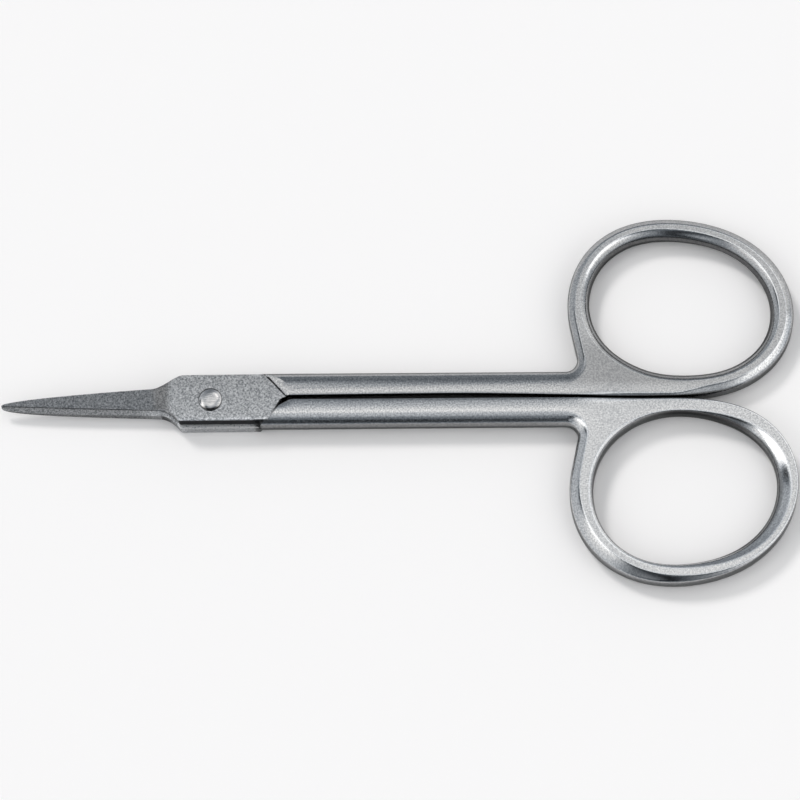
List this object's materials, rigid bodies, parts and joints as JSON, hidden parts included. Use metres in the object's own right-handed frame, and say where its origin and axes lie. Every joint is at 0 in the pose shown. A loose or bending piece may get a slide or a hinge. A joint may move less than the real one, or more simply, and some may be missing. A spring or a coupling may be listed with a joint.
{
  "type": "nail scissors",
  "caption": "Slim straight nail scissors in satin steel: narrow pointed blades crossed on a rivet, slender shanks and oval finger rings.",
  "frame": {"origin": "centre of the rivet's flush back end, on the pivot axis, level with the flat back of the joint", "axes": "tips towards -X, finger rings towards +X, +Z out of the front face along the pivot axis"},
  "size_m": [0.0902, 0.0432, 0.0034],
  "materials": {
    "satin_steel": "satin",
    "bright_steel": "polished"
  },
  "bodies": {
    "back": {"back_half": "satin_steel", "pivot_rivet": "bright_steel"},
    "front": {"front_half": "satin_steel"}
  },
  "joints": [
    {"name": "pivot", "type": "hinge", "parent": "back", "child": "front", "pos_m": [0, 0, 0.0016], "axis": [0, 0, -1], "range_deg": [0, 60]}
  ]
}
